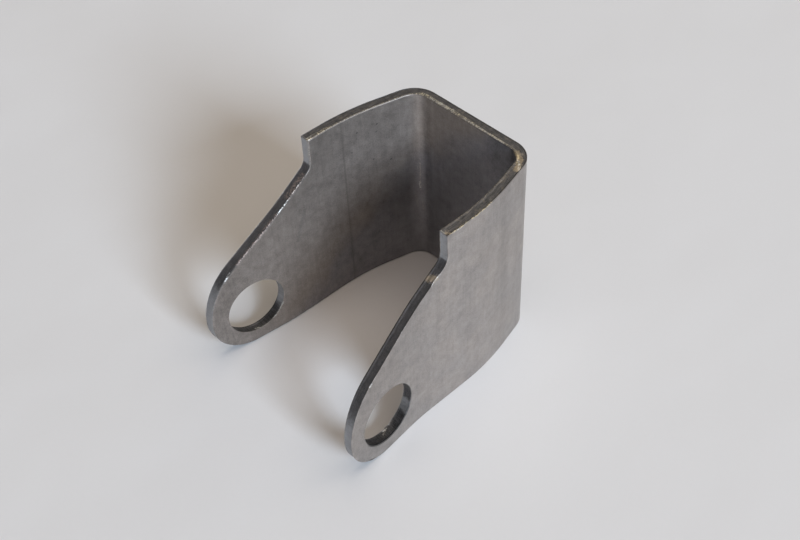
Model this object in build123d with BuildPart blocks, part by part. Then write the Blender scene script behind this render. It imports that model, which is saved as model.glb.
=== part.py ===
"""Folded sheet-steel clevis bracket, in millimetres.

One blank of sheet steel: a flat web at the back, folded at two corners into a pair of ears.
Each ear leans out from its corner, runs straight along its waist and leans out again at the tip,
where it carries a hole for a pin that passes through both ears.
The origin is on the pin's axis, halfway between the ears. +X runs along the pin, +Y towards the web
and +Z up.
"""
import os
from math import asin, atan2, degrees, hypot, radians, tan

from build123d import *

# Sheet and folds, as seen from above
sheet_thickness = 3.0
corner_inner_radius = 5.0  # on the inner face, at the two folds beside the web
web_flat_width = 30.0  # flat stretch of the web between the two corner folds
root_lean = 14.5  # degrees out from straight ahead, between the corner and the root crease
waist_lean = 0.5  # degrees out, between the two creases
tip_lean = 6.3  # degrees out, beyond the tip crease
crease_radius = 70.0  # at mid sheet, in both creases
web_to_root_crease = 22.0  # from the web's back face
waist_length = 26.5  # from the root crease to the tip crease

# Pin holes, pierced through both ears on one axis
hole_diameter = 17.5
web_to_hole = 60.0  # from the web's back face to the pin's axis
wall_below_hole = 4.25
wall_ahead_of_hole = 5.25

# Side outline of the ears
height = 59.0
web_to_step = 37.0  # from the web's back face to the step in the ear's top edge
step_drop = 9.0
step_foot_radius = 4.0
front_radius = 21.5  # where the sloping edge turns down to the front

# Sheared edges, rounded by the die around the blank and by the punch around the holes
edge_roll = 0.4

mid_sheet = sheet_thickness / 2
corner_mid_radius = corner_inner_radius + mid_sheet
corner_half_turn = radians(90 - root_lean) / 2
hole_radius = hole_diameter / 2

# The lower round of the tip has its centre level with the hole's
tip_radius = hole_radius + wall_below_hole
bottom = -tip_radius
top = bottom + height
front = -hole_radius - wall_ahead_of_hole
web_back = web_to_hole


def ahead(start, lean, distance):
    """The point that lies this distance nearer the tips than start, on a line that leans out."""
    return (start[0] + distance * tan(radians(lean)), start[1] - distance)


# The middle of the sheet from the web to one tip, before its folds are rounded
web_middle = (0, web_back - mid_sheet)
corner = (web_flat_width / 2 + corner_mid_radius * tan(corner_half_turn), web_back - mid_sheet)
root_crease = ahead(corner, root_lean, web_to_root_crease - mid_sheet)
tip_crease = ahead(root_crease, waist_lean, waist_length)
past_tip = ahead(tip_crease, tip_lean, tip_crease[1] - front + sheet_thickness)

# The sloping edge runs from the step's foot and meets the front round as a tangent
step_foot = (web_back - web_to_step, top - step_drop)
front_centre = (front + front_radius, 0)
foot_from_centre = (step_foot[0] - front_centre[0], step_foot[1] - front_centre[1])
tangent_angle = asin(front_radius / hypot(*foot_from_centre))
front_slope = degrees(atan2(foot_from_centre[1], foot_from_centre[0]) - tangent_angle)


def rim_of(faces):
    """The edges around a patch of faces, without those that two of its faces share."""
    edges = faces.edges()
    return [edge for edge in edges if edges.count(edge) == 1]


with BuildPart() as bracket:
    # The folded sheet at its full height
    with BuildSketch(Plane.XY.offset(bottom)):
        with BuildLine() as half_path:
            Polyline(web_middle, corner, root_crease, tip_crease, past_tip)
            fillet(half_path.vertices().sort_by_distance(corner)[0], corner_mid_radius)
            fillet(half_path.vertices().sort_by_distance(root_crease)[0], crease_radius)
            fillet(half_path.vertices().sort_by_distance(tip_crease)[0], crease_radius)
        trace(line_width=sheet_thickness)
        mirror(about=Plane.YZ)
    extrude(amount=height)

    # The side outline, cut straight across both ears
    with BuildSketch(Plane.YZ) as side_outline:
        with BuildLine():
            tip_round = CenterArc((front + tip_radius, 0), tip_radius, 270, -90)
            front_round = CenterArc(front_centre, front_radius, 180, front_slope - 90)
            Polyline(
                front_round @ 1,
                step_foot,
                (step_foot[0], top),
                (web_back, top),
                (web_back, bottom),
                tip_round @ 0,
            )
        make_face()
        fillet(side_outline.vertices().sort_by_distance(step_foot)[0], step_foot_radius)
    extrude(amount=past_tip[0] + sheet_thickness, both=True, mode=Mode.INTERSECT)

    # The die rounds the blank's outline on the inner face
    between_ears = Vector(0, web_back - web_to_step / 2, 0)
    inner_faces = bracket.faces().filter_by(
        lambda face: face.normal_at().dot(between_ears - face.center()) > 0
    )
    fillet(rim_of(inner_faces), edge_roll)

    with Locations(Plane.YZ):
        Hole(hole_radius)

    # The punch rounds the holes on the outer face, which is turned away from the pin's middle
    hole_edges = bracket.edges(Select.LAST)
    outer_faces = bracket.faces().filter_by(lambda face: face.normal_at().dot(face.center()) > 0)
    hole_rims = [edge for edge in rim_of(outer_faces) if edge in hole_edges]
    fillet(hole_rims, edge_roll)

bracket.part.label = "bracket"

os.makedirs("parts", exist_ok=True)
export_step(bracket.part, "parts/bracket.step")
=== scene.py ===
"""Folded sheet-steel clevis bracket on a pale floor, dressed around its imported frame.

The bracket is made the way the real one is: its outline is drawn, cut and pierced as a flat blank,
its sheared edges are torn and knocked, and the blank is folded to its final shape. Lengths are in
millimetres until a finished piece is scaled to the frame's metres.
"""
import logging
import math
from dataclasses import dataclass, field
from enum import Enum
from functools import reduce
from typing import Callable, Mapping, Union

import bpy
import numpy as np
from mathutils import Matrix, Vector
from mathutils.kdtree import KDTree


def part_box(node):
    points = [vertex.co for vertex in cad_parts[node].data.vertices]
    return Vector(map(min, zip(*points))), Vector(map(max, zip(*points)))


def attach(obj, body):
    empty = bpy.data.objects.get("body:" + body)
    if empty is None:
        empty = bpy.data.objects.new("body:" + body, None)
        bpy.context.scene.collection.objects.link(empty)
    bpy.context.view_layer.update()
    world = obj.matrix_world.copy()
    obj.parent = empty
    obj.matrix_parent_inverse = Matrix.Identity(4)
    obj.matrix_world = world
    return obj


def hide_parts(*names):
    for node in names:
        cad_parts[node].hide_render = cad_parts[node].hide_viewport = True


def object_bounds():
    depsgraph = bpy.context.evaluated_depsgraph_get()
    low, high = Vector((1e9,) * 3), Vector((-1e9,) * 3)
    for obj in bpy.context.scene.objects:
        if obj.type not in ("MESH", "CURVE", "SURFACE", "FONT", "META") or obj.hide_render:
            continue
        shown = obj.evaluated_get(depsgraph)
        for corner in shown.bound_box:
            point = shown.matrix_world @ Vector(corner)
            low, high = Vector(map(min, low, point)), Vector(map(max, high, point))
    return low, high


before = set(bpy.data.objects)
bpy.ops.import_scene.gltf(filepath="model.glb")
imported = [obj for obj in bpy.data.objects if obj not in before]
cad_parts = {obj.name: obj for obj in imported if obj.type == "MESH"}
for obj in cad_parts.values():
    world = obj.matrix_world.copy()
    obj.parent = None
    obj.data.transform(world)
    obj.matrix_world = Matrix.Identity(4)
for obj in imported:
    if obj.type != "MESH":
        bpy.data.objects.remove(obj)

log = logging.getLogger("bracket")

MM = 0.001  # metres in a millimetre
SAME_PLACE = 1e-4  # places this near, in millimetres, count as one
TOUCHING = 1e-3  # the merging distance where two halves meet

Point = tuple[float, float]
Place = tuple[float, float, float]
Colour = tuple[float, float, float]


def deselect_all() -> None:
    """Leaves nothing selected, in object mode."""
    if bpy.context.mode != "OBJECT":
        bpy.ops.object.mode_set(mode="OBJECT")
    bpy.ops.object.select_all(action="DESELECT")


def make_active(piece: bpy.types.Object) -> None:
    """Selects one object alone and makes it the active one.

    Args:
        piece: The object that the next operators work on.
    """
    deselect_all()
    piece.select_set(True)
    bpy.context.view_layer.objects.active = piece


def select_vertices(piece: bpy.types.Object, test: Callable[[Vector], bool]) -> None:
    """Selects the vertices that pass a test, and no others, in vertex mode.

    Args:
        piece: The object in edit mode.
        test: Takes a vertex's place and says whether it is wanted.
    """
    bpy.ops.mesh.select_all(action="DESELECT")
    bpy.ops.mesh.select_mode(type="VERT")
    bpy.ops.object.mode_set(mode="OBJECT")
    for vertex in piece.data.vertices:
        vertex.select = test(vertex.co)
    bpy.ops.object.mode_set(mode="EDIT")


def select_faces(piece: bpy.types.Object, test: Callable[[bpy.types.MeshPolygon], bool]) -> None:
    """Selects the faces that pass a test, and no others, in face mode.

    Args:
        piece: The object in edit mode.
        test: Takes a face and says whether it is wanted.
    """
    bpy.ops.mesh.select_mode(type="FACE")
    bpy.ops.mesh.select_all(action="DESELECT")
    bpy.ops.object.mode_set(mode="OBJECT")
    for face in piece.data.polygons:
        face.select = test(face)
    bpy.ops.object.mode_set(mode="EDIT")


def turn_faces_out() -> None:
    """Makes every face of the mesh in edit mode point outwards."""
    bpy.ops.mesh.select_all(action="SELECT")
    bpy.ops.mesh.normals_make_consistent(inside=False)


def direction(azimuth: float, elevation: float) -> Vector:
    """The way from the bracket to something that stands round it.

    Args:
        azimuth: Degrees from -Y round towards +X.
        elevation: Degrees above the floor.

    Returns:
        The direction, of length 1.
    """
    turn, climb = math.radians(azimuth), math.radians(elevation)
    level = math.cos(climb)
    return Vector((math.sin(turn) * level, -math.cos(turn) * level, math.sin(climb)))


@dataclass
class FoldPath:
    """The middle of the sheet seen from above, from the web's middle to the end of one ear.

    The path is straight runs joined by arcs. A distance along it is measured from the web's middle.
    """

    thickness: float = 3.0
    corner_inner_radius: float = 5.0
    web_flat_width: float = 30.0
    root_lean: float = 14.5
    waist_lean: float = 0.5
    tip_lean: float = 6.3
    crease_radius: float = 70.0
    web_to_root_crease: float = 22.0
    waist_length: float = 26.5
    web_back: float = 60.0
    spare_length: float = 40.0
    halvings: int = 40
    runs: list[tuple[float, Vector, float, float]] = field(default_factory=list)

    def __post_init__(self) -> None:
        """Lays the runs end to end: each is its start distance, start place, heading and curvature."""
        middle_radius = self.corner_inner_radius + self.thickness / 2
        leans = [math.radians(lean) for lean in (self.root_lean, self.waist_lean, self.tip_lean)]
        corner_turn = math.pi / 2 - leans[0]
        corner_x = self.web_flat_width / 2 + middle_radius * math.tan(corner_turn / 2)
        root_depth = self.web_to_root_crease - self.thickness / 2
        root_run = root_depth / math.cos(leans[0])
        waist_run = self.waist_length / math.cos(leans[1])
        root_turn, tip_turn = leans[0] - leans[1], leans[2] - leans[1]
        trims = [
            middle_radius * math.tan(corner_turn / 2),
            self.crease_radius * math.tan(root_turn / 2),
            self.crease_radius * math.tan(tip_turn / 2),
        ]
        steps = [
            (corner_x - trims[0], 0.0),
            (middle_radius * corner_turn, -1 / middle_radius),
            (root_run - trims[0] - trims[1], 0.0),
            (self.crease_radius * root_turn, -1 / self.crease_radius),
            (waist_run - trims[1] - trims[2], 0.0),
            (self.crease_radius * tip_turn, 1 / self.crease_radius),
            (self.spare_length, 0.0),
        ]
        distance, place, heading = 0.0, Vector((0, self.web_back - self.thickness / 2)), 0.0
        for length, curvature in steps:
            self.runs.append((distance, place, heading, curvature))
            place, heading = self._along(place, heading, curvature, length)
            distance += length
        starts = [start for start, *_ in self.runs]
        _, self.corner_start, self.corner_end, self.root_end, self.waist_start, _, self.tip_start = starts

    @staticmethod
    def _along(place: Vector, heading: float, curvature: float, length: float) -> tuple[Vector, float]:
        """Follows one straight run or arc.

        Args:
            place: Where the run starts.
            heading: The angle of its direction there, from +X.
            curvature: One over its radius, negative where it turns right, and 0 on a straight run.
            length: How far to go.

        Returns:
            The place and the heading there.
        """
        if curvature == 0:
            return place + length * Vector((math.cos(heading), math.sin(heading))), heading
        turned = heading + curvature * length
        across = Vector((math.sin(turned) - math.sin(heading), math.cos(heading) - math.cos(turned)))
        return place + across / curvature, turned

    def at(self, distance: float) -> tuple[Vector, float]:
        """The place and heading at a distance along the path.

        Args:
            distance: Millimetres from the web's middle, 0 or more.

        Returns:
            The place, and the angle of the path's direction from +X.
        """
        run = max((r for r in self.runs if r[0] <= distance), key=lambda r: r[0])
        start, place, heading, curvature = run
        return self._along(place, heading, curvature, distance - start)

    def distance_at(self, y: float) -> float:
        """How far along the path an ear reaches a place between the web and the tips.

        Args:
            y: The place along the frame's Y axis.

        Returns:
            The distance along the path, found by halving.
        """
        low, high = self.corner_end, self.tip_start + self.spare_length
        for _ in range(self.halvings):
            middle = (low + high) / 2
            if self.at(middle)[0].y > y:
                low = middle
            else:
                high = middle
        return (low + high) / 2


class BlankDrawing:
    """An outline drawn on the blank with a point that is pulled along lines and swung round arcs."""

    def __init__(self, name: str, start: Point) -> None:
        """Starts the drawing with one point.

        Args:
            name: The name of the object that holds the outline.
            start: The first point, as Y and Z.
        """
        deselect_all()
        bpy.ops.mesh.primitive_plane_add(size=1, location=(0, 0, 0))
        self.piece = bpy.context.object
        self.piece.name = name
        bpy.ops.object.mode_set(mode="EDIT")
        bpy.ops.mesh.merge(type="CENTER")
        bpy.ops.transform.translate(value=(0, *start))
        self.tip = Vector((0, *start))

    def line_to(self, point: Point) -> None:
        """Pulls the point along a straight line.

        Args:
            point: Where it ends, as Y and Z.
        """
        move = Vector((0, *point)) - self.tip
        bpy.ops.mesh.extrude_region_move(TRANSFORM_OT_translate={"value": move})
        self.tip += move

    def arc_about(self, centre: Point, turn: float, steps: int) -> None:
        """Swings the point round a centre.

        Args:
            centre: The arc's centre, as Y and Z.
            turn: The angle, in radians about +X.
            steps: The number of straight pieces that the arc is made of.
        """
        pivot = Vector((0, *centre))
        # The spin operator counts its angle the other way round the axis
        bpy.ops.mesh.spin(steps=steps, angle=-turn, center=pivot, axis=(1, 0, 0), dupli=False)
        self.tip = pivot + Matrix.Rotation(turn, 3, "X") @ (self.tip - pivot)


def apply_modifier(piece: bpy.types.Object, kind: str, **settings: object) -> None:
    """Adds a modifier to the active piece, sets it and applies it.

    Args:
        piece: The active object.
        kind: The modifier's type.
        settings: The modifier's own properties.
    """
    bpy.ops.object.modifier_add(type=kind)
    modifier = piece.modifiers[-1]
    for name, value in settings.items():
        setattr(modifier, name, value)
    bpy.ops.object.modifier_apply(modifier=modifier.name)


@dataclass(frozen=True)
class Knock:
    """A small dent or a raised bit of burr, placed on the flat blank."""

    place: Place
    push: Place
    reach: float


@dataclass(frozen=True)
class ShearedEdge:
    """How the tools leave a cut edge: burnished where they enter, torn where they break through.

    Depths are counted from the middle of the sheet, with the side where the tool enters below 0.
    """

    torn_from: float = -1.0
    torn_fully: float = -0.7
    entry_share: float = 0.4
    rim_starts: float = 1.36
    coarse_grain: float = 2.4
    coarse_depth: float = 0.16
    fine_grain: float = 0.45
    fine_depth: float = 0.13
    wave_length: float = 16.0
    wave_depth: float = 0.07
    into_metal: float = 1.1

    def weight(self, depth: float, half_sheet: float) -> float:
        """How far a point of the edge is torn.

        Args:
            depth: Its depth, with the tool's entry below 0.
            half_sheet: Half the sheet's thickness.

        Returns:
            0 where the edge is smooth, 1 where it is torn.
        """
        if abs(depth) > half_sheet - TOUCHING:
            return 0.0
        entry = (depth - self.torn_from) / (self.torn_fully - self.torn_from)
        rim = (half_sheet - depth) / (half_sheet - self.rim_starts)
        return min(1.0, max(self.entry_share, entry)) * min(1.0, rim)

    def roughen(self, sheet: bpy.types.Object, weights: list[float]) -> None:
        """Tears the edges and gives the faces the slight waves of rolled sheet, always into the metal.

        Args:
            sheet: The flat blank, active and in object mode.
            weights: How far each vertex is torn.
        """
        group = sheet.vertex_groups.new(name="torn")
        for index, weight in enumerate(weights):
            if weight > 0:
                group.add([index], weight, "REPLACE")
        scales = [
            ("rolled_wave", self.wave_length, self.wave_depth, ""),
            ("coarse_tear", self.coarse_grain, self.coarse_depth, group.name),
            ("fine_tear", self.fine_grain, self.fine_depth, group.name),
        ]
        for name, grain, strength, mask in scales:
            clouds = bpy.data.textures.new(name, "CLOUDS")
            clouds.noise_scale = grain
            settings = {"texture": clouds, "strength": strength, "vertex_group": mask}
            apply_modifier(sheet, "DISPLACE", mid_level=self.into_metal, **settings)
        sheet.vertex_groups.clear()


@dataclass
class FoldedSheet:
    """The bracket's one piece: a stamped blank, folded into a web and two ears.

    On the flat blank, X is the distance along the fold path from the web's middle, Y is the depth in the
    sheet from its middle, with the ears' inner face on the low side, and Z is the height.
    """

    path: FoldPath
    height: float = 59.0
    web_to_step: float = 37.0
    step_drop: float = 9.0
    step_foot_radius: float = 4.0
    front_radius: float = 21.5
    hole_radius: float = 8.75
    wall_below_hole: float = 4.25
    wall_ahead_of_hole: float = 5.25
    edge_roll: float = 0.4
    burr_break: float = 0.1
    cell: float = 1.0
    corner_cell: float = 0.5
    depth_rows: tuple[float, ...] = (-0.9, -0.6, -0.3, 0.0, 0.3, 0.6, 0.9)
    edge_cuts: int = 1
    nose_steps: int = 24
    front_steps: int = 20
    foot_steps: int = 10
    hole_sides: int = 72
    smooth_angle: float = 35.0
    shear: ShearedEdge = ShearedEdge()
    knocks: tuple[Knock, ...] = (
        Knock((59.0, 1.4, 33.9), (0.0, -0.35, -0.25), 1.9),
        Knock((57.9, 1.4, 34.6), (0.0, -0.25, -0.2), 1.2),
        Knock((83.0, 1.4, 16.8), (0.0, -0.2, -0.15), 0.9),
        Knock((71.0, 1.4, 25.7), (0.0, -0.15, -0.1), 0.8),
        Knock((50.7, 1.45, 45.9), (0.0, 0.22, -0.05), 0.9),
        Knock((49.3, 1.45, 45.9), (0.0, 0.16, -0.05), 0.8),
        Knock((44.4, 1.45, 45.9), (0.0, 0.16, -0.05), 0.8),
        Knock((41.0, 1.45, 45.9), (0.0, 0.18, -0.05), 0.9),
        Knock((53.9, 0.6, 46.0), (0.0, 0.0, -0.22), 1.3),
        Knock((25.2, 1.4, 45.9), (0.0, -0.1, -0.2), 1.1),
        Knock((22.1, -1.1, 45.9), (0.0, 0.1, -0.2), 1.0),
        Knock((-54.6, -1.2, 45.3), (0.0, 0.15, -0.2), 1.0),
        Knock((-84.6, -1.3, 15.7), (0.0, 0.12, -0.12), 1.0),
        Knock((77.9, -1.4, -8.75), (0.0, 0.25, -0.1), 0.9),
        Knock((75.6, -1.4, -8.4), (0.0, 0.2, -0.1), 0.8),
        Knock((-78.2, -1.4, -8.75), (0.0, 0.25, -0.1), 0.9),
    )

    def __post_init__(self) -> None:
        """Works out the outline's places from the driving sizes."""
        self.tip_radius = self.hole_radius + self.wall_below_hole
        self.bottom = -self.tip_radius
        self.top = self.bottom + self.height
        self.front = -self.hole_radius - self.wall_ahead_of_hole
        self.step_y = self.path.web_back - self.web_to_step
        self.half_sheet = self.path.thickness / 2

    def build(self) -> bpy.types.Object:
        """Makes the finished mesh.

        Returns:
            The folded sheet, in metres, in the frame's place.
        """
        sheet = self.cut_blank()
        self.break_outline(sheet)
        self.pierce(sheet)
        self.break_holes(sheet)
        self.divide(sheet)
        self.note_blank(sheet)
        self.shear.roughen(sheet, self.torn_weights(sheet))
        self.knock(sheet)
        self.fold(sheet)
        self.finish(sheet)
        return sheet

    def cut_blank(self) -> bpy.types.Object:
        """Draws one ear's outline, lays it flat, mirrors it and gives it the sheet's thickness.

        Returns:
            The flat blank, with sharp edges and no holes.
        """
        tip_centre = (self.front + self.tip_radius, 0)
        front_centre = (self.front + self.front_radius, 0)
        foot = (self.step_y, self.top - self.step_drop)
        reach, rise = foot[0] - front_centre[0], foot[1] - front_centre[1]
        slope = math.atan2(rise, reach) - math.asin(self.front_radius / math.hypot(reach, rise))
        trim = self.step_foot_radius * math.tan((math.pi / 2 - slope) / 2)
        foot_start = (foot[0] - trim * math.cos(slope), foot[1] - trim * math.sin(slope))
        foot_centre = (foot[0] - self.step_foot_radius, foot[1] + trim)

        drawing = BlankDrawing("folded_sheet", (tip_centre[0], self.bottom))
        drawing.arc_about(tip_centre, -math.pi / 2, self.nose_steps)
        drawing.arc_about(front_centre, slope - math.pi / 2, self.front_steps)
        drawing.line_to(foot_start)
        drawing.arc_about(foot_centre, math.pi / 2 - slope, self.foot_steps)
        drawing.line_to((self.step_y, self.top))

        sheet = drawing.piece
        bpy.ops.object.mode_set(mode="OBJECT")
        for vertex in sheet.data.vertices:
            vertex.co = (self.path.distance_at(vertex.co.y), -self.half_sheet, vertex.co.z)
        bpy.ops.object.mode_set(mode="EDIT")
        for level, y in ((self.bottom, tip_centre[0]), (self.top, self.step_y)):
            select_vertices(sheet, lambda place: abs(place.z - level) < SAME_PLACE)
            run = self.path.distance_at(y)
            bpy.ops.mesh.extrude_region_move(TRANSFORM_OT_translate={"value": (-run, 0, 0)})
        bpy.ops.object.mode_set(mode="OBJECT")
        apply_modifier(sheet, "MIRROR", use_axis=(True, False, False), merge_threshold=TOUCHING)
        bpy.ops.object.mode_set(mode="EDIT")
        bpy.ops.mesh.select_all(action="SELECT")
        bpy.ops.mesh.edge_face_add()
        bpy.ops.mesh.extrude_region_move(TRANSFORM_OT_translate={"value": (0, self.path.thickness, 0)})
        turn_faces_out()
        return sheet

    def break_outline(self, sheet: bpy.types.Object) -> None:
        """Rounds the outline's edge on the inner face, as the die does, and breaks it on the outer face.

        Args:
            sheet: The flat blank, in edit mode.
        """
        for side, offset, segments in ((-1, self.edge_roll, 3), (1, self.burr_break, 2)):
            select_faces(sheet, lambda face: face.normal.y * side > 0.5)
            bpy.ops.mesh.region_to_loop()
            bpy.ops.mesh.bevel(offset=offset, segments=segments, affect="EDGES")

    def pierce(self, sheet: bpy.types.Object) -> None:
        """Cuts the pin hole in each ear.

        Args:
            sheet: The flat blank, in edit mode.
        """
        deselect_all()
        bpy.ops.mesh.primitive_cylinder_add(
            vertices=self.hole_sides,
            radius=self.hole_radius,
            depth=self.path.thickness * 2,
            rotation=(0, math.pi / 2, 0),
        )
        punch = bpy.context.object
        bpy.ops.object.transform_apply(location=False, rotation=True, scale=False)
        for vertex in punch.data.vertices:
            vertex.co = (self.path.distance_at(vertex.co.y), vertex.co.x, vertex.co.z)
        apply_modifier(punch, "MIRROR", use_axis=(True, False, False))
        bpy.ops.object.mode_set(mode="EDIT")
        turn_faces_out()
        make_active(sheet)
        apply_modifier(sheet, "BOOLEAN", operation="DIFFERENCE", solver="EXACT", object=punch)
        bpy.data.objects.remove(punch)
        bpy.ops.object.mode_set(mode="EDIT")

    def break_holes(self, sheet: bpy.types.Object) -> None:
        """Rounds the holes' edges on the outer face, as the punch does, and breaks them on the inner face.

        Args:
            sheet: The flat blank, in edit mode.
        """
        centre = self.path.distance_at(0)
        reach = self.hole_radius + self.edge_roll / 2

        for side, offset, segments in ((1, self.edge_roll, 3), (-1, self.burr_break, 2)):

            def on_rim(place: Vector) -> bool:
                """Whether a vertex is on this side's face and beside a hole."""
                by_hole = math.hypot(abs(place.x) - centre, place.z) < reach
                return by_hole and place.y * side > self.half_sheet - TOUCHING

            select_vertices(sheet, on_rim)
            bpy.ops.mesh.select_mode(type="EDGE")
            bpy.ops.mesh.bevel(offset=offset, segments=segments, affect="EDGES")

    def divide(self, sheet: bpy.types.Object) -> None:
        """Divides the blank into small cells, so that it folds smoothly and its edges can be roughened.

        Args:
            sheet: The flat blank, in edit mode.
        """
        end = self.path.distance_at(self.front)
        stations = [*np.arange(self.cell / 2, end, self.cell)]
        stations += [*np.arange(self.path.corner_start, self.path.corner_end, self.corner_cell)]
        planes = [((side * place, 0, 0), (1, 0, 0)) for place in stations for side in (-1, 1)]
        levels = np.arange(self.bottom + self.cell / 2, self.top, self.cell)
        planes += [((0, 0, level), (0, 0, 1)) for level in levels]
        planes += [((0, depth, 0), (0, 1, 0)) for depth in self.depth_rows]
        for place, normal in planes:
            bpy.ops.mesh.select_all(action="SELECT")
            bpy.ops.mesh.bisect(plane_co=place, plane_no=normal, threshold=SAME_PLACE)
        bpy.ops.mesh.select_all(action="SELECT")
        bpy.ops.mesh.remove_doubles(threshold=self.cell / 100)
        select_faces(sheet, lambda face: abs(face.normal.y) < 0.3)
        bpy.ops.mesh.subdivide(number_cuts=self.edge_cuts)
        bpy.ops.object.mode_set(mode="OBJECT")

    def note_blank(self, sheet: bpy.types.Object) -> None:
        """Stores each vertex's place on the flat blank and its way from the cut edges, for the finish.

        Args:
            sheet: The flat blank, in object mode.
        """
        vertices = sheet.data.vertices
        places = np.empty(len(vertices) * 3, dtype=np.float32)
        vertices.foreach_get("co", places)
        sheet.data.attributes.new("blank", "FLOAT_VECTOR", "POINT").data.foreach_set("vector", places)
        walls = [vertex.co for vertex in vertices if abs(vertex.co.y) < self.half_sheet - self.edge_roll]
        tree = KDTree(len(walls))
        for index, place in enumerate(walls):
            tree.insert((place.x, 0, place.z), index)
        tree.balance()
        reaches = [tree.find((vertex.co.x, 0, vertex.co.z))[2] for vertex in vertices]
        sheet.data.attributes.new("from_edge", "FLOAT", "POINT").data.foreach_set("value", reaches)

    def torn_weights(self, sheet: bpy.types.Object) -> list[float]:
        """How far each vertex is torn. The punch enters from the outside, the outline's die from the inside.

        Args:
            sheet: The flat blank, in object mode.

        Returns:
            One weight for each vertex.
        """
        centre = self.path.distance_at(0)
        wall = self.hole_radius + 2 * self.edge_roll
        weights = []
        for vertex in sheet.data.vertices:
            run, depth, level = vertex.co
            entry_side = -1 if math.hypot(abs(run) - centre, level) < wall else 1
            weights.append(self.shear.weight(depth * entry_side, self.half_sheet))
        return weights

    def knock(self, sheet: bpy.types.Object) -> None:
        """Dents the edges here and there.

        Args:
            sheet: The flat blank, in object mode.
        """
        tree = KDTree(len(sheet.data.vertices))
        for vertex in sheet.data.vertices:
            tree.insert(vertex.co, vertex.index)
        tree.balance()
        for knock in self.knocks:
            _, nearest, _ = tree.find(knock.place)
            bpy.ops.object.mode_set(mode="EDIT")
            bpy.ops.mesh.select_mode(type="VERT")
            bpy.ops.mesh.select_all(action="DESELECT")
            bpy.ops.object.mode_set(mode="OBJECT")
            sheet.data.vertices[nearest].select = True
            bpy.ops.object.mode_set(mode="EDIT")
            bpy.ops.transform.translate(
                value=knock.push,
                use_proportional_edit=True,
                proportional_edit_falloff="SMOOTH",
                proportional_size=knock.reach,
            )
            bpy.ops.object.mode_set(mode="OBJECT")

    def fold(self, sheet: bpy.types.Object) -> None:
        """Bends the blank along its path.

        The ears' outlines are cut straight across, so towards the tips the sheet's two faces slide along
        the ear until they are level with its middle.

        Args:
            sheet: The flat blank, in object mode.
        """
        slide_start, slide_end = self.path.root_end, self.path.waist_start
        for vertex in sheet.data.vertices:
            run, depth, level = vertex.co
            side = math.copysign(1, run)
            distance = abs(run)
            share = min(1, max(0, (distance - slide_start) / (slide_end - slide_start)))
            _, heading = self.path.at(distance)
            lean = math.pi / 2 + heading
            place, heading = self.path.at(distance + share * depth * math.tan(lean))
            across = Vector((-math.sin(heading), math.cos(heading)))
            place = place + depth * across
            vertex.co = (side * place.x, place.y, level)
        sheet.data.update()

    def finish(self, sheet: bpy.types.Object) -> None:
        """Smooths the shading and brings the piece to the frame's metres.

        Args:
            sheet: The folded sheet, in object mode.
        """
        make_active(sheet)
        sheet.scale = (MM, MM, MM)
        bpy.ops.object.transform_apply(location=True, rotation=True, scale=True)
        bpy.ops.object.shade_smooth_by_angle(angle=math.radians(self.smooth_angle))


class Wire:
    """An output of a node that goes on to other nodes. Arithmetic on a number's wire adds Math nodes."""

    def __init__(self, graph: "Graph", socket: bpy.types.NodeSocket) -> None:
        """Keeps the graph and the socket."""
        self.graph = graph
        self.socket = socket

    def _math(self, operation: str, first: "Value", second: "Value") -> "Wire":
        """Adds one Math node on two values."""
        return self.graph.add("ShaderNodeMath", {"operation": operation}, {0: first, 1: second})

    def __add__(self, other: "Value") -> "Wire":
        """The sum."""
        return self._math("ADD", self, other)

    def __radd__(self, other: "Value") -> "Wire":
        """The sum, with the wire on the right."""
        return self._math("ADD", other, self)

    def __sub__(self, other: "Value") -> "Wire":
        """The difference."""
        return self._math("SUBTRACT", self, other)

    def __rsub__(self, other: "Value") -> "Wire":
        """The difference, with the wire on the right."""
        return self._math("SUBTRACT", other, self)

    def __mul__(self, other: "Value") -> "Wire":
        """The product."""
        return self._math("MULTIPLY", self, other)

    def __rmul__(self, other: "Value") -> "Wire":
        """The product, with the wire on the right."""
        return self._math("MULTIPLY", other, self)

    def __abs__(self) -> "Wire":
        """The size without the sign."""
        return self.graph.add("ShaderNodeMath", {"operation": "ABSOLUTE"}, {0: self})

    def at_most(self, other: "Value") -> "Wire":
        """The smaller of the two."""
        return self._math("MINIMUM", self, other)

    def at_least(self, other: "Value") -> "Wire":
        """The larger of the two."""
        return self._math("MAXIMUM", self, other)

    def rise(self, start: float, end: float) -> "Wire":
        """A smooth step.

        Args:
            start: Where the step is 0.
            end: Where the step is 1. It may be below start.

        Returns:
            A number from 0 to 1.
        """
        low, high = min(start, end), max(start, end)
        sockets = {"Value": self, "From Min": low, "From Max": high}
        step = self.graph.add("ShaderNodeMapRange", {"interpolation_type": "SMOOTHSTEP"}, sockets)
        return step if start < end else 1 - step

    def band(self, centre: float, half_width: float, softness: float) -> "Wire":
        """A smooth band round one value.

        Args:
            centre: The middle of the band.
            half_width: How far the band is full each way.
            softness: How far it takes to fade out.

        Returns:
            1 inside the band and 0 outside.
        """
        return abs(self - centre).rise(half_width + softness, half_width)


Value = Union[Wire, float]
Shade = Union[Wire, Colour]


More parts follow.
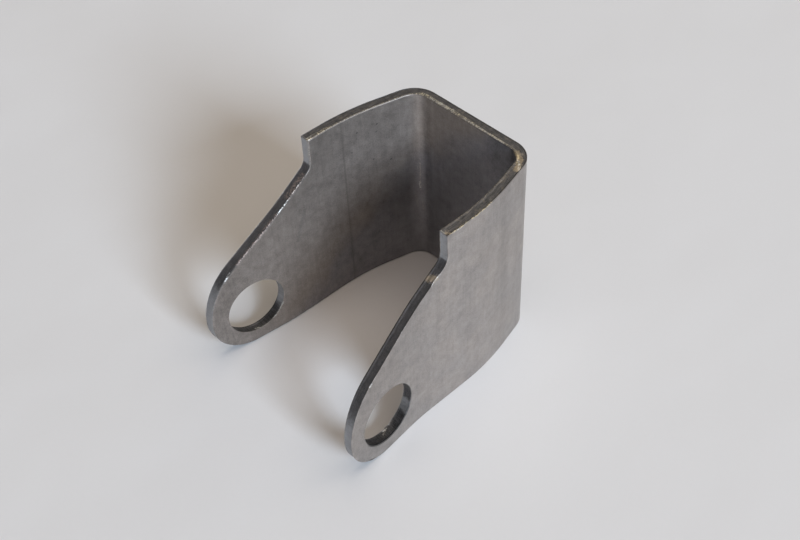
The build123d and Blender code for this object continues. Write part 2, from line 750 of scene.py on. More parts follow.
class Graph:
    """The nodes of one material or world, made one call at a time."""

    def __init__(self, tree: bpy.types.NodeTree) -> None:
        """Keeps the node tree."""
        self.tree = tree

    def add(
        self,
        kind: str,
        settings: Mapping[str, object] | None = None,
        sockets: Mapping[int | str, object] | None = None,
        output: int | str = 0,
    ) -> Wire:
        """Adds a node.

        Args:
            kind: The node's type.
            settings: The node's own properties, set first.
            sockets: For each input, a number, a colour, a vector or a wire.
            output: The output that the wire comes from.

        Returns:
            The wire.
        """
        node = self.tree.nodes.new(kind)
        for name, setting in (settings or {}).items():
            setattr(node, name, setting)
        self.plug(node, sockets or {})
        return Wire(self, node.outputs[output])

    def plug(self, node: bpy.types.Node, sockets: Mapping[int | str, object]) -> None:
        """Sets or links a node's inputs.

        Args:
            node: The node.
            sockets: For each input, a number, a colour, a vector or a wire.
        """
        for name, value in sockets.items():
            socket = node.inputs[name]
            if isinstance(value, Wire):
                self.tree.links.new(value.socket, socket)
            elif isinstance(value, tuple) and len(socket.default_value) > len(value):
                socket.default_value = (*value, 1)
            else:
                socket.default_value = value

    def mix(self, share: Value, first: Shade, second: Shade) -> Wire:
        """Mixes two colours.

        Args:
            share: How much of the second colour.
            first: The first colour.
            second: The second colour.

        Returns:
            The mixed colour.
        """
        return self.add("ShaderNodeMix", {"data_type": "RGBA"}, {0: share, 6: first, 7: second}, 2)

    def scaled(self, vector: Shade, factor: Value) -> Wire:
        """Makes a colour brighter or darker, or a vector longer or shorter."""
        return self.add("ShaderNodeVectorMath", {"operation": "SCALE"}, {0: vector, "Scale": factor})

    def stretched(self, vector: Wire, factors: Place) -> Wire:
        """Multiplies a vector's three numbers by three factors."""
        return self.add("ShaderNodeVectorMath", {"operation": "MULTIPLY"}, {0: vector, 1: factors})

    def distance(self, first: Wire, second: Place) -> Wire:
        """How far one place is from another."""
        return self.add("ShaderNodeVectorMath", {"operation": "DISTANCE"}, {0: first, 1: second}, "Value")

    def distance_to_line(self, place: Wire, start: Place, end: Place) -> Wire:
        """The distance from a place to the nearest point of a straight line.

        Args:
            place: The place on the flat blank.
            start: Where the line starts.
            end: Where it ends.

        Returns:
            The distance.
        """
        line = Vector(end) - Vector(start)
        beside = self.add("ShaderNodeVectorMath", {"operation": "SUBTRACT"}, {0: place, 1: start})
        settings = {"operation": "DOT_PRODUCT"}
        along = self.add("ShaderNodeVectorMath", settings, {0: beside, 1: tuple(line)}, "Value")
        share = (along * (1 / line.length_squared)).at_least(0.0).at_most(1.0)
        foot = self.scaled(tuple(line), share)
        return self.add("ShaderNodeVectorMath", {"operation": "DISTANCE"}, {0: beside, 1: foot}, "Value")

    def noise(self, place: Wire, scale: float, detail: float = 3.0, roughness: float = 0.5) -> Wire:
        """Cloudy noise about 0.

        Args:
            place: Where it is read.
            scale: How many clouds in one unit of length.
            detail: How many finer layers.
            roughness: How strong the finer layers are.

        Returns:
            A number from about -0.5 to 0.5.
        """
        sockets = {"Vector": place, "Scale": scale, "Detail": detail, "Roughness": roughness}
        return self.add("ShaderNodeTexNoise", {}, sockets) - 0.5


class FlawOrGlint(Enum):
    """Kinds of small mark on the surface: pits, smears and stains, and painted glints and highlights on fresh
    burr metal.
    """

    PIT = "pit"
    DULL = "dull"
    RUDDY = "ruddy"
    SHEEN = "sheen"
    TAN = "tan"
    GOLD = "gold_glint"
    BRIGHT = "bright"


@dataclass(frozen=True)
class Mark:
    """A small mark or painted glint on the flat blank: a spot at a place, or a streak from there to an end.
    """

    flaw_or_glint: FlawOrGlint
    place: Place
    reach: float
    strength: float = 1.0
    end: Place | None = None


@dataclass(frozen=True)
class Fade:
    """A change that grows from one line on the blank to another."""

    start: float
    full: float
    strength: float = 1.0

    def over(self, way: Wire) -> Wire:
        """The change, counted along one way on the blank."""
        return way.rise(self.start, self.full) * self.strength


@dataclass(frozen=True)
class Stripe:
    """A change inside a soft-edged stripe."""

    centre: float
    half_width: float
    softness: float
    strength: float = 1.0

    def over(self, way: Wire) -> Wire:
        """The change, counted along one way on the blank."""
        return way.band(self.centre, self.half_width, self.softness) * self.strength


@dataclass(frozen=True)
class Cloud:
    """A pattern of noise: clouds in a millimetre, finer layers, how strong they are, and its stretch."""

    scale: float
    detail: float
    roughness: float
    stretch: Place = (1.0, 1.0, 1.0)

    def over(self, blank: Wire) -> Wire:
        """The noise, read on the blank."""
        place = blank.graph.stretched(blank, self.stretch)
        return blank.graph.noise(place, self.scale, self.detail, self.roughness)


@dataclass(frozen=True)
class Ground:
    """What every part of the finish reads: where a point lies on the flat blank, and shared noise."""

    blank: Wire
    from_edge: Wire
    run: Wire
    depth: Wire
    level: Wire
    reach: Wire
    right_ear: Wire
    top: Wire
    mottle: Wire
    grain: Wire


@dataclass(frozen=True)
class BareSteel:
    """Bare mild steel as it leaves the press: satin rolled faces and sheared edges, with painted light and
    shade.

    Lengths are millimetres on the flat blank. A run is the signed distance from the web's middle, a
    reach is a run without its sign, and a level is a height from the pin's axis.
    """

    outer_warm: Colour = (0.331, 0.297, 0.274)
    outer_cool: Colour = (0.311, 0.284, 0.267)
    # Painted shade: a less warm colour for the outer faces on the side away from the window, against the warm
    # fill light there.
    outer_in_shade: Colour = (0.304, 0.291, 0.286)
    # Lit and shaded copies of the inner faces' colour: painted shade where the other ear hides the window
    # light, made cooler against the warm fill light.
    inner_lit: Colour = (0.330, 0.295, 0.271)
    inner_in_shade: Colour = (0.265, 0.260, 0.278)
    torn: Colour = (0.132, 0.130, 0.136)
    stained: Colour = (0.178, 0.165, 0.154)
    burnished: Colour = (0.30, 0.285, 0.265)
    # Painted glints in the burnished strip, on fresh metal.
    glint_fleck: Colour = (0.86, 0.80, 0.66)
    # Partly the real lighter smooth shear, partly a painted reflection of the floor: lighter and bluer than
    # torn metal.
    smooth_cut_and_reflection: Colour = (0.350, 0.358, 0.375)
    # Painted highlights: white and yellow glints on fresh burr metal, and a sheen on scuffed metal.
    bright: Colour = (0.87, 0.87, 0.85)
    gold_glint: Colour = (0.86, 0.74, 0.50)
    sheen: Colour = (0.44, 0.415, 0.39)
    dull: Colour = (0.17, 0.165, 0.16)
    ruddy: Colour = (0.420, 0.345, 0.315)
    tan: Colour = (0.50, 0.42, 0.32)
    pit: Colour = (0.08, 0.075, 0.07)
    face_metallic: float = 0.68
    edge_metallic: float = 0.85
    face_roughness: float = 0.42
    torn_roughness: float = 0.55
    burnished_roughness: float = 0.42

    mottling: Cloud = Cloud(0.45, 6, 0.65)
    speckle: Cloud = Cloud(2.6, 3, 0.6)
    tinting: Cloud = Cloud(0.07, 3, 0.6)
    draw_lines: Cloud = Cloud(1.0, 3, 0.6, (1.6, 1.0, 0.05))
    patching: Cloud = Cloud(0.16, 3, 0.6)
    pocks: Cloud = Cloud(1.5, 2, 0.5)
    tearing: Cloud = Cloud(5.0, 2, 0.6)
    raggedness: Cloud = Cloud(0.9, 4, 0.7)
    blotches: Cloud = Cloud(0.7, 4, 0.7)
    crumbs: Cloud = Cloud(3.0, 4, 0.75)
    scoring: Cloud = Cloud(1.0, 3, 0.6, (3.0, 0.25, 3.0))
    layering: Cloud = Cloud(1.0, 3, 0.6, (0.35, 3.2, 0.35))
    toothing: Cloud = Cloud(1.0, 3, 0.65, (2.2, 0.6, 2.2))
    sparkling: Cloud = Cloud(1.7, 4, 0.75)
    mottle_relief: float = 0.014
    speckle_relief: float = 0.010
    torn_relief: float = 0.06

    skin: float = 0.03
    wall_starts: float = 0.16
    top_band: tuple[float, float] = (0.9, 0.4)
    # Painted light and shade on the faces: the side away from the window, the other ear's shadow, a highlight
    # and a darker line at the left bend, and darker corners, ends and roots.
    shade_side: Fade = Fade(28.0, 8.0)
    inner_shade: Fade = Fade(46.0, 34.0)
    corner_shade: tuple[Stripe, Fade] = (Stripe(15.0, 2.0, 9.0), Fade(24.0, 44.0, 0.42))
    bend_light: Stripe = Stripe(-22.0, 3.0, 3.0, 0.10)
    bend_edge_shade: Stripe = Stripe(-15.3, 1.2, 0.7, 0.07)
    low_root_shade: tuple[Fade, Fade] = (Fade(24.0, 4.0), Fade(-26.0, -38.0, 0.10))
    left_nose_shade: Fade = Fade(-68.0, -82.0, 0.16)
    waist_light: Stripe = Stripe(50.0, 6.0, 12.0, 0.04)
    nose_shade: Fade = Fade(62.0, 80.0, 0.12)
    high_root_shade: tuple[Fade, Fade] = (Fade(24.0, 44.0), Fade(46.0, 30.0, 0.05))
    inner_crease: Stripe = Stripe(43.6, 0.1, 0.4)
    outer_crease: Stripe = Stripe(62.6, 0.1, 0.4)
    press_band: Stripe = Stripe(32.3, 1.0, 2.2)
    pocked: tuple[Stripe, Fade] = (Stripe(35.0, 8.0, 6.0), Fade(20.0, 32.0, 0.25))

    # Where the rims are darkened as painted shade, and roughened.
    rim: tuple[Fade, Fade] = (Fade(1.0, 1.15), Fade(0.6, 0.4))
    slope_part: tuple[Stripe, Fade, Fade] = (Stripe(71.0, 14.0, 2.0), Fade(10.0, 14.0), Fade(-0.5, -1.0))
    slope_rim_shade: tuple[float, float] = (0.55, 0.45)
    bore_floor: tuple[Fade, Fade, Fade] = (Fade(-1.0, -4.0), Fade(-12.0, -11.0), Fade(0.5, 1.0, 0.6))
    top_rim_shade: float = 0.25

    # Where the fronts turn smooth; there they take the smooth-cut colour with its painted reflection.
    smooth_front: Fade = Fade(86.2, 88.6)
    right_front_ahead: float = 2.4
    left_slope_part: Stripe = Stripe(70.0, 14.0, 2.0)
    left_top_part: Fade = Fade(43.0, 50.0)
    web_part: Fade = Fade(21.0, 17.0)
    burnish_edge: Fade = Fade(-0.90, -1.04)
    # Smooth patches in the bores, which also carry a painted reflection.
    bore_patches: tuple[tuple[Place, float], ...] = (((70.0, 0.0, -4.6), 2.4), ((-69.2, 0.0, -0.5), 5.4))
    # Pits, smears and stains, and painted glints and sheen along the edges, corners and bends.
    marks: tuple[Mark, ...] = (
        Mark(FlawOrGlint.PIT, (-32.2, -1.5, 40.0), 0.34, 0.7),
        Mark(FlawOrGlint.PIT, (-38.7, -1.5, 39.8), 0.36, 0.7),
        Mark(FlawOrGlint.PIT, (-32.6, -1.5, 37.5), 0.26, 0.6),
        Mark(FlawOrGlint.PIT, (-40.8, -1.5, 34.0), 0.28, 0.5),
        Mark(FlawOrGlint.PIT, (-33.9, -1.5, 28.5), 0.34, 0.6),
        Mark(FlawOrGlint.PIT, (-28.5, -1.5, 26.2), 0.34, 0.6),
        Mark(FlawOrGlint.DULL, (-61.9, -1.5, 15.4), 0.9, 0.24, (-58.3, -1.5, 24.2)),
        Mark(FlawOrGlint.DULL, (63.5, 1.5, 8.0), 0.8, 0.10, (70.0, 1.5, 12.5)),
        Mark(FlawOrGlint.DULL, (36.0, 1.5, 20.0), 0.8, 0.10, (40.5, 1.5, 6.0)),
        Mark(FlawOrGlint.SHEEN, (-64.5, -1.5, 19.0), 0.9, 0.2, (-60.0, -1.5, 27.5)),
        Mark(FlawOrGlint.SHEEN, (-71.5, -1.5, 11.0), 0.8, 0.2, (-69.0, -1.5, 17.0)),
        Mark(FlawOrGlint.SHEEN, (61.0, 1.5, 1.7), 0.6, 0.5, (61.6, 1.5, 0.6)),
        Mark(FlawOrGlint.SHEEN, (-18.7, -1.5, 23.5), 0.42, 0.9, (-18.8, -1.5, 12.0)),
        Mark(FlawOrGlint.BRIGHT, (-19.2, -1.5, 14.8), 0.36, 0.9, (-18.9, -1.5, 12.6)),
        Mark(FlawOrGlint.SHEEN, (-19.6, -1.5, 20.6), 0.40, 0.6, (-19.5, -1.5, 18.4)),
        Mark(FlawOrGlint.SHEEN, (-20.7, -1.5, 9.5), 0.5, 0.6, (-20.1, -1.5, 5.5)),
        Mark(FlawOrGlint.SHEEN, (-18.2, -1.5, 8.6), 0.45, 0.5, (-17.9, -1.5, 3.5)),
        Mark(FlawOrGlint.BRIGHT, (-14.0, -0.9, 46.0), 0.75, 1.0, (-6.0, -0.6, 46.0)),
        Mark(FlawOrGlint.BRIGHT, (-2.0, -1.0, 46.0), 0.42, 0.8, (13.0, -1.2, 46.0)),
        Mark(FlawOrGlint.TAN, (18.0, -1.0, 46.0), 1.05, 0.8, (25.4, 0.5, 46.0)),
        Mark(FlawOrGlint.GOLD, (18.6, -1.3, 45.9), 0.5, 1.0, (23.0, -0.5, 46.0)),
        Mark(FlawOrGlint.BRIGHT, (21.5, -0.9, 46.0), 0.42, 1.0, (25.2, 1.2, 46.0)),
        Mark(FlawOrGlint.GOLD, (39.0, 1.5, 45.9), 0.5, 0.9, (46.0, 1.55, 45.9)),
        Mark(FlawOrGlint.GOLD, (47.8, 1.55, 45.9), 0.6, 1.0, (53.2, 1.6, 45.9)),
        Mark(FlawOrGlint.BRIGHT, (50.0, 1.6, 45.8), 0.4, 0.9, (51.0, 1.6, 45.7)),
        Mark(FlawOrGlint.TAN, (53.6, 0.7, 46.0), 0.9, 0.6),
        Mark(FlawOrGlint.TAN, (59.3, -0.7, 33.7), 1.15, 0.8, (58.4, 1.3, 34.2)),
        Mark(FlawOrGlint.BRIGHT, (57.3, 1.45, 34.9), 0.42, 1.0, (59.8, 1.45, 33.5)),
        Mark(FlawOrGlint.BRIGHT, (82.6, 1.5, 17.1), 0.4, 0.9, (83.4, 1.5, 16.5)),
        Mark(FlawOrGlint.BRIGHT, (71.0, 1.5, 25.7), 0.35, 0.6, (71.6, 1.5, 25.2)),
        Mark(FlawOrGlint.BRIGHT, (-83.6, -1.2, 16.6), 0.42, 1.0, (-85.6, -1.5, 14.6)),
        Mark(FlawOrGlint.BRIGHT, (84.56, 1.5, 15.96), 0.22, 0.8),
        Mark(FlawOrGlint.BRIGHT, (87.96, 1.5, 12.2), 0.26, 0.6, (89.5, 1.5, 9.6)),
        Mark(FlawOrGlint.SHEEN, (-54.7, -0.8, 45.6), 0.3, 0.9, (-54.7, -1.0, 37.6)),
        Mark(FlawOrGlint.BRIGHT, (-54.6, -0.5, 45.9), 0.35, 0.8, (-52.6, -0.4, 46.0)),
        Mark(FlawOrGlint.RUDDY, (-57.4, -0.5, 35.1), 1.25, 1.0, (-62.8, -0.6, 31.2)),
        Mark(FlawOrGlint.SHEEN, (-56.5, -1.3, 35.6), 0.22, 0.5, (-62.5, -1.3, 31.4)),
        Mark(FlawOrGlint.BRIGHT, (-63.5, -1.3, 30.7), 0.36, 0.75, (-67.0, -1.35, 28.3)),
        Mark(FlawOrGlint.RUDDY, (-67.5, -1.1, 27.9), 0.85, 0.9, (-81.0, -1.3, 18.5)),
        Mark(FlawOrGlint.BRIGHT, (77.9, -1.3, -8.75), 0.42, 0.95, (76.9, -1.1, -8.7)),
        Mark(FlawOrGlint.BRIGHT, (75.4, -1.4, -8.6), 0.3, 0.9, (74.6, -1.4, -8.4)),
        Mark(FlawOrGlint.SHEEN, (78.6, -0.4, -8.7), 0.4, 0.6, (77.4, -0.7, -8.7)),
        Mark(FlawOrGlint.BRIGHT, (-69.6, -1.45, -4.0), 0.44, 0.9, (-72.6, -1.45, -7.3)),
        Mark(FlawOrGlint.BRIGHT, (-72.6, -1.45, -7.3), 0.40, 0.8, (-77.8, -1.4, -8.8)),
        Mark(FlawOrGlint.BRIGHT, (-78.9, -0.8, -8.75), 0.4, 0.9, (-77.9, -1.2, -8.75)),
    )

    def build(self, sheet: FoldedSheet) -> bpy.types.Material:
        """Makes the material.

        Args:
            sheet: The piece that wears it, for its sizes.

        Returns:
            The material.
        """
        material = bpy.data.materials.new("bare_steel")
        material.use_nodes = True
        graph = Graph(material.node_tree)
        ground = self.read_ground(graph, sheet)
        cut = abs(ground.depth).rise(sheet.half_sheet - self.skin, sheet.half_sheet - self.wall_starts)

        face, face_roughness = self.rolled_face(graph, ground)
        edge, edge_roughness, torn = self.cut_edge(graph, sheet, ground)
        colour = graph.mix(cut, face, edge)
        roughness = face_roughness + cut * (edge_roughness - face_roughness)
        # Painted shade on the rolled rims: their colour is darkened so they catch less highlight; the added
        # roughness is real.
        rim_shade = self.painted_rim_shade(sheet, ground)
        colour = graph.scaled(colour, 1 - rim_shade)
        roughness = roughness + rim_shade * 0.5
        colour, roughness = self.add_marks(graph, ground, colour, roughness)
        metallic = self.face_metallic + cut * (self.edge_metallic - self.face_metallic)

        height = ground.mottle * self.mottle_relief + ground.grain * self.speckle_relief
        height = height + cut * torn * (self.tearing.over(ground.blank) * self.torn_relief)
        bump = graph.add("ShaderNodeBump", {}, {"Strength": 1.0, "Distance": MM, "Height": height})
        shader = material.node_tree.nodes["Principled BSDF"]
        graph.plug(shader, {
            "Base Color": colour,
            "Roughness": roughness,
            "Metallic": metallic,
            "Normal": bump,
        })
        return material

    def read_ground(self, graph: Graph, sheet: FoldedSheet) -> Ground:
        """Reads where a point lies on the flat blank.

        Args:
            graph: The material's nodes.
            sheet: The piece, for its sizes.

        Returns:
            The place and what follows from it.
        """
        blank = graph.add("ShaderNodeAttribute", {"attribute_name": "blank"}, output="Vector")
        run, depth, level = (graph.add("ShaderNodeSeparateXYZ", {}, {0: blank}, axis) for axis in range(3))
        return Ground(
            blank=blank,
            from_edge=graph.add("ShaderNodeAttribute", {"attribute_name": "from_edge"}, output="Fac"),
            run=run,
            depth=depth,
            level=level,
            reach=abs(run),
            right_ear=run.rise(-1.0, 1.0),
            top=level.rise(*(sheet.top - below for below in self.top_band)),
            mottle=self.mottling.over(blank),
            grain=self.speckle.over(blank),
        )

    def painted_rim_shade(self, sheet: FoldedSheet, ground: Ground) -> Wire:
        """How far the rolled rims of the slopes, the bores and the inner top are darkened and roughened: the
        darkening is painted shade that hides the highlight their rounded shape would catch.

        Args:
            sheet: The piece, for its sizes.
            ground: Where a point lies.

        Returns:
            0 where their colour is left as it is, up to 1.
        """
        hole = sheet.path.distance_at(0)
        rim = self.rim[0].over(abs(ground.depth)) * self.rim[1].over(ground.from_edge)
        left, right = self.slope_rim_shade
        along, above, inside = self.slope_part
        slope = along.over(ground.reach) * above.over(ground.level) * inside.over(ground.depth)
        slope = slope * (left + (right - left) * ground.right_ear)
        below, bottom, outside = self.bore_floor
        bore = ground.reach.band(hole, 7.5, 1.5) * below.over(ground.level) * bottom.over(ground.level)
        bore = bore * outside.over(ground.depth)
        strongest = slope.at_least(bore).at_least(ground.top * self.top_rim_shade)
        return rim * strongest * (1 + ground.mottle * 1.5)

    def rolled_face(self, graph: Graph, ground: Ground) -> tuple[Wire, Wire]:
        """The sheet's two faces: warm and cool clouds, fine speckle, faint draw lines and press creases, with
        painted light and shade.

        Args:
            graph: The material's nodes.
            ground: Where a point lies.

        Returns:
            The colour and the roughness.
        """
        run, level, reach, mottle, grain = ground.run, ground.level, ground.reach, ground.mottle, ground.grain
        outside = ground.depth.rise(-0.5, 0.5)
        inside = 1 - outside
        clouds = self.tinting.over(ground.blank)
        outer = graph.mix(clouds.rise(-0.12, 0.12), self.outer_warm, self.outer_cool)
        # Painted shade: towards the left the outer faces take the less warm colour of the side away from the
        # window.
        outer = graph.mix(self.shade_side.over(run), outer, self.outer_in_shade)
        # Painted shadow of the other ear: past a slanting line across the inner faces they take the darker,
        # cooler shaded colour.
        shaded = self.inner_shade.over(level - run * 0.8 + clouds * 16)
        inner = graph.mix(shaded, self.inner_lit, self.inner_in_shade)
        colour = graph.mix(outside, inner, outer)

        drawn = self.draw_lines.over(ground.blank)
        patches = self.patching.over(ground.blank)
        tone = 1 + mottle * 0.80 + grain * 0.65 + drawn * 0.26 + patches * 0.26
        # Painted light and shade on the inner faces: a highlight on the left bend, a darker line at its edge,
        # and darker towards the left nose, at the web's right top corner and low at the left ear's root.
        inner_tone = self.bend_light.over(run) - self.bend_edge_shade.over(run) - self.left_nose_shade.over(run)
        inner_tone = inner_tone - self.corner_shade[0].over(run) * self.corner_shade[1].over(level)
        inner_tone = inner_tone - self.low_root_shade[0].over(level) * self.low_root_shade[1].over(run)
        inner_tone = inner_tone - self.inner_crease.over(reach) * (0.17 + mottle * 0.7)
        # Painted light and shade on the outer faces: lighter at the waist, darker towards the nose and high
        # at the root.
        outer_tone = 0.02 + self.waist_light.over(reach) - self.nose_shade.over(reach)
        outer_tone = outer_tone - self.high_root_shade[0].over(level) * self.high_root_shade[1].over(reach)
        outer_tone = outer_tone - self.outer_crease.over(reach) * (0.02 + mottle * 0.4)
        outer_tone = outer_tone - self.press_band.over(reach) * (0.07 + patches * 0.3)
        tone = tone + inner_tone * inside + outer_tone * outside

        specks = self.pocks.over(ground.blank).rise(0.19, 0.25)
        pocked = self.pocked[0].over(reach) * self.pocked[1].over(level) * inside
        worn = ground.from_edge.rise(0.9, 0.3) * (mottle + 0.5).rise(0.45, 0.65)
        tone = tone - specks * (0.12 + pocked) + worn * 0.10
        roughness = self.face_roughness + mottle * 0.22 + grain * 0.2 + patches * 0.10 - worn * 0.06
        return graph.scaled(colour, tone), roughness

    def cut_edge(self, graph: Graph, sheet: FoldedSheet, ground: Ground) -> tuple[Wire, Wire, Wire]:
        """The sheared edges: a light burnished strip where the tool enters, dark torn metal beyond it, with
        painted glints in the strip and a painted reflection on the smooth cuts.

        Args:
            graph: The material's nodes.
            sheet: The piece, for its sizes.
            ground: Where a point lies.

        Returns:
            The colour, the roughness and how far the metal is torn.
        """
        blank, run, level, reach, mottle = ground.blank, ground.run, ground.level, ground.reach, ground.mottle
        right, top = ground.right_ear, ground.top
        flat_place = graph.add("ShaderNodeCombineXYZ", {}, {"X": reach, "Y": 0.0, "Z": level})
        hole = (sheet.path.distance_at(0), 0.0, 0.0)
        by_hole = graph.distance(flat_place, hole).rise(sheet.hole_radius + 0.8, sheet.hole_radius + 0.5)
        ragged = self.raggedness.over(blank)
        step = reach.band(sheet.path.distance_at(sheet.step_y), 0.4, 0.3) * level.rise(37.3, 38.0)
        front = self.smooth_front.over(reach + ragged * 2.0 - right * self.right_front_ahead)
        left_slope = self.left_slope_part.over(0 - run) * (1 - by_hole)
        left_top = self.left_top_part.over(0 - run) * top
        web_top = self.web_part.over(reach) * top

        blotch = self.blotches.over(blank)
        crumb = self.crumbs.over(blank)
        scored = self.scoring.over(blank)
        layered = self.layering.over(blank)
        torn_tone = 1 + crumb * 1.4 + mottle * 0.8 + layered * (0.9 + 1.0 * top)
        torn_tone = torn_tone + blotch * top * 0.8 + 0.2 * left_slope + 0.07 * top
        # Painted shade in the bores: their lower walls are darker.
        low = level.rise(-2.0, -8.0) * (0.3 - 0.15 * run.rise(1.0, -1.0))
        torn_tone = torn_tone + by_hole * (scored * 1.2 - 0.1 - low)
        stain = blotch.rise(0.02, 0.16) * (0.2 + 0.8 * top) * (1 - by_hole)
        torn_colour = graph.scaled(graph.mix(stain, self.torn, self.stained), torn_tone)

        # Partly real smooth shear, partly painted reflection: the step faces, the fronts and patches in the
        # bores take the lighter, bluer colour.
        patch = self.smooth_reflecting_patches(graph, flat_place, run, ragged) * by_hole * 0.75
        smooth = (step.at_least(front * 0.75) * (1 - by_hole)).at_least(patch)
        smooth_and_reflection_colour = graph.scaled(self.smooth_cut_and_reflection, 1 + mottle * 0.5 + scored * 0.5 + crumb * 0.25)
        torn_colour = graph.mix(smooth, torn_colour, smooth_and_reflection_colour)

        # Painted glints: speckles along the burnished strip take a pale yellow colour.
        teeth = self.toothing.over(blank)
        glint_fleck = (teeth + ragged * 0.3).rise(0.0, 0.09)
        burnished = graph.mix(glint_fleck, self.burnished, self.glint_fleck)
        burnished = graph.scaled(burnished, 1 + scored * 0.9 + ragged * 0.7)
        wide = 0.75 * left_top + web_top * (0.8 - run.rise(-6.0, 10.0) * 0.5)
        strip = self.burnish_edge.over(ground.depth + ragged * 0.9 + teeth * 0.5 - wide)
        shown = 0.10 + top * (0.40 + 0.5 * web_top + 0.4 * left_top) + 0.3 * step
        strip = strip * shown.at_most(1.0)
        colour = graph.mix(strip, torn_colour, burnished)
        torn = (1 - strip) * (1 - 0.85 * smooth)
        rough = self.torn_roughness + crumb * 0.3 - 0.15 * smooth
        return colour, rough + strip * (self.burnished_roughness - rough), torn

    def smooth_reflecting_patches(self, graph: Graph, flat_place: Wire, run: Wire, ragged: Wire) -> Wire:
        """The patches where the punch left a bore smooth, which also carry a painted reflection.

        Args:
            graph: The material's nodes.
            flat_place: The place on the blank, with both ears laid on the right one.
            run: The signed distance from the web's middle.
            ragged: Noise that makes their outlines ragged.

        Returns:
            1 on a patch and 0 off it.
        """
        patches = []
        for (place_run, _, level), size in self.bore_patches:
            away = graph.distance(flat_place, (abs(place_run), 0.0, level)) + ragged * 2.5
            on_ear = (run * math.copysign(1, place_run)).rise(0.0, 1.0)
            patches.append(away.rise(size, size * 0.6) * on_ear)
        return reduce(Wire.at_least, patches)

    def add_marks(self, graph: Graph, ground: Ground, colour: Wire, roughness: Wire) -> tuple[Wire, Wire]:
        """Adds the pits, scratches and stained spots, and the painted glints and sheen on nicks, burrs and
        scuffs.

        Args:
            graph: The material's nodes.
            ground: Where a point lies.
            colour: The colour under them.
            roughness: The roughness under them.

        Returns:
            The colour and the roughness with the marks.
        """
        # The white and yellow glints and the sheen are painted highlights, on metal that is partly fresh or
        # scuffed.
        looks = {
            FlawOrGlint.DULL: (self.dull, 0.55),
            FlawOrGlint.RUDDY: (self.ruddy, 0.55),
            FlawOrGlint.SHEEN: (self.sheen, 0.40),
            FlawOrGlint.TAN: (self.tan, 0.45),
            FlawOrGlint.PIT: (self.pit, 0.7),
            FlawOrGlint.GOLD: (self.gold_glint, 0.35),
            FlawOrGlint.BRIGHT: (self.bright, 0.35),
        }
        sparkle = self.sparkling.over(ground.blank)
        broken = sparkle.rise(-0.07, 0.07)
        for flaw_or_glint, (mark_colour, mark_roughness) in looks.items():
            shares = []
            for mark in (mark for mark in self.marks if mark.flaw_or_glint is flaw_or_glint):
                if mark.end is None:
                    away = graph.distance(ground.blank, mark.place)
                else:
                    away = graph.distance_to_line(ground.blank, mark.place, mark.end)
                away = away + ground.grain * (mark.reach * 2.2) + sparkle * mark.reach
                shares.append(away.rise(mark.reach, mark.reach * 0.35) * mark.strength)
            share = reduce(Wire.at_least, shares)
            if flaw_or_glint in (FlawOrGlint.GOLD, FlawOrGlint.BRIGHT, FlawOrGlint.SHEEN, FlawOrGlint.RUDDY):
                share = share * broken
            colour = graph.mix(share, colour, mark_colour)
            roughness = roughness + share * (mark_roughness - roughness)
        return colour, roughness


@dataclass(frozen=True)
class Viewpoint:
    """Where the camera stands, how far round and how it is held. Lengths are in millimetres."""

    target: tuple[float, float, float] = (0.0, 22.0, 17.0)
    azimuth: float = 49.05
    elevation: float = 45.19
    roll: float = -3.27
    distance: float = 313.1
    aside: float = -6.93
    above: float = 0.51
    focal_pixels: float = 1185.8
    frame_width: int = 800
    sensor_width: float = 36.0

    def build(self) -> None:
        """Makes the scene's camera."""
        azimuth, roll = math.radians(self.azimuth), math.radians(self.roll)
        back = direction(self.azimuth, self.elevation)
        level = Vector((math.cos(azimuth), math.sin(azimuth), 0))
        upright = back.cross(level)
        right = math.cos(roll) * level + math.sin(roll) * upright
        up = math.cos(roll) * upright - math.sin(roll) * level
        place = Vector(self.target) + self.distance * back - self.aside * right - self.above * up
        bpy.ops.object.camera_add(location=place * MM)
        camera = bpy.context.object
        camera.name = "camera"
        turn = Matrix((right, up, back)).transposed()
        camera.rotation_euler = turn.to_euler()
        camera.data.sensor_width = self.sensor_width
        camera.data.lens = self.focal_pixels / self.frame_width * self.sensor_width
        camera.data.clip_start = 10 * MM
        bpy.context.scene.camera = camera


@dataclass(frozen=True)
class SoftLamp:
    """A broad square lamp that faces the bracket. Angles are degrees, size and distance are metres."""

    name: str
    azimuth: float
    elevation: float
    size: float
    watts: float
    colour: Colour
    distance: float = 3.0

    def build(self, target: Vector) -> None:
        """Makes the lamp.

        Args:
            target: What it faces, in metres.
        """
        back = direction(self.azimuth, self.elevation)
        bpy.ops.object.light_add(type="AREA", location=target + back * self.distance)
        lamp = bpy.context.object
        lamp.name = self.name
        lamp.rotation_euler = back.to_track_quat("Z", "Y").to_euler()
        lamp.data.size = self.size
        lamp.data.energy = self.watts
        lamp.data.color = self.colour


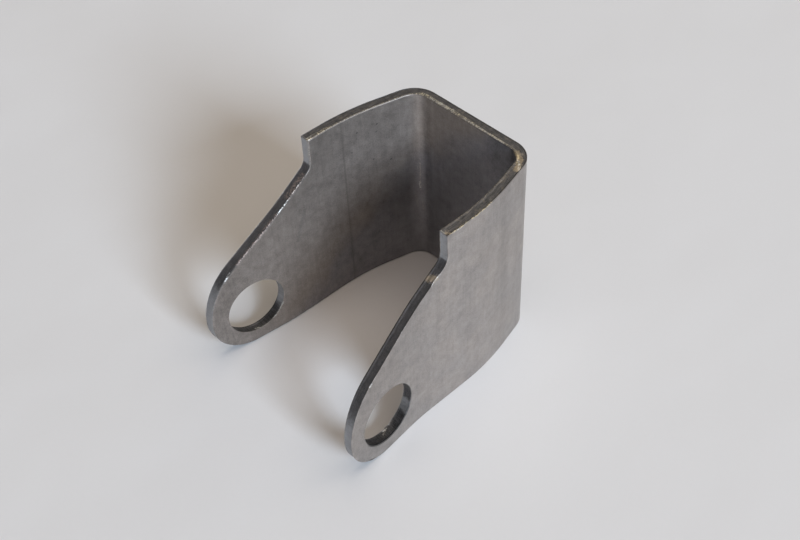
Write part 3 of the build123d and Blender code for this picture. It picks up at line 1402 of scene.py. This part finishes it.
@dataclass(frozen=True)
class PaleFloor:
    """A sheet of pale matt paper that the bracket stands on."""

    paper: Colour = (0.70, 0.70, 0.715)
    side: float = 4.0
    roughness: float = 0.9
    specular: float = 0.2
    wave_length: float = 90.0
    wave_depth: float = 1.2
    fibre: float = 1.2
    fibre_depth: float = 0.01

    def build(self) -> bpy.types.Object:
        """Makes the floor.

        Returns:
            The floor.
        """
        deselect_all()
        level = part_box("bracket")[0].z
        bpy.ops.mesh.primitive_plane_add(size=self.side, location=(0, 0, level))
        floor = bpy.context.object
        floor.name = "floor"
        bpy.ops.object.transform_apply(location=True, rotation=True, scale=True)
        floor.data.materials.append(self.dress())
        return floor

    def dress(self) -> bpy.types.Material:
        """Makes the paper's material.

        Returns:
            The material.
        """
        material = bpy.data.materials.new("pale_paper")
        material.use_nodes = True
        graph = Graph(material.node_tree)
        place = graph.add("ShaderNodeTexCoord", output="Object")
        clouds = graph.noise(place, 1 / (self.wave_length * MM), 3, 0.5)
        fibres = graph.noise(place, 1 / (self.fibre * MM), 3, 0.6)
        colour = graph.scaled(self.paper, 1 + clouds * 0.04 + fibres * 0.02)
        height = clouds * self.wave_depth + fibres * self.fibre_depth
        bump = graph.add("ShaderNodeBump", {}, {"Strength": 1.0, "Distance": MM, "Height": height})
        shader = material.node_tree.nodes["Principled BSDF"]
        graph.plug(shader, {
            "Base Color": colour,
            "Roughness": self.roughness,
            "Specular IOR Level": self.specular,
            "Normal": bump,
        })
        return material


@dataclass(frozen=True)
class Room:
    """The light that comes from all round: pale at the horizon, dim above it."""

    dim: Colour = (0.06, 0.053, 0.046)
    pale: Colour = (0.20, 0.195, 0.19)
    backdrop: Colour = (0.70, 0.70, 0.71)
    horizon_top: float = 0.35

    def build(self, scene: bpy.types.Scene) -> None:
        """Makes the scene's world.

        Args:
            scene: The scene that it lights.
        """
        world = bpy.data.worlds.new("room")
        scene.world = world
        world.use_nodes = True
        graph = Graph(world.node_tree)
        direction = graph.add("ShaderNodeTexCoord", output="Generated")
        height = graph.add("ShaderNodeSeparateXYZ", {}, {0: direction}, "Z")
        light = graph.mix(height.rise(0.0, self.horizon_top), self.pale, self.dim)
        seen = graph.add("ShaderNodeLightPath", output="Is Camera Ray")
        graph.plug(world.node_tree.nodes["Background"], {"Color": graph.mix(seen, light, self.backdrop)})


def main() -> None:
    """Builds the scene in order and reports each piece."""
    logging.basicConfig(level=logging.INFO, format="%(name)s: %(message)s")
    cad_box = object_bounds()
    scene = bpy.context.scene
    scene.view_settings.view_transform = "Standard"

    folded = FoldedSheet(FoldPath())
    sheet = folded.build()
    sheet.data.materials.append(BareSteel().build(folded))
    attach(sheet, "root")
    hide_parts("bracket")
    log.info("folded sheet: %d faces", len(sheet.data.polygons))

    PaleFloor().build()
    Viewpoint().build()
    centre = (cad_box[0] + cad_box[1]) / 2
    lamps = (
        SoftLamp("window_lamp", azimuth=81.8, elevation=26.6, size=3.15, watts=967.5,
                 colour=(0.769, 0.877, 1.0), distance=9.0),
        SoftLamp("ceiling_lamp", azimuth=110, elevation=78, size=3.2, watts=39, colour=(1.0, 0.85, 0.733)),
        SoftLamp("back_lamp", azimuth=180, elevation=50, size=3.0, watts=20, colour=(1.0, 0.908, 0.686)),
    )
    for lamp in lamps:
        lamp.build(centre)
        log.info("lamp: %s", lamp.name)
    Room().build(scene)


if __name__ == "__main__":
    main()
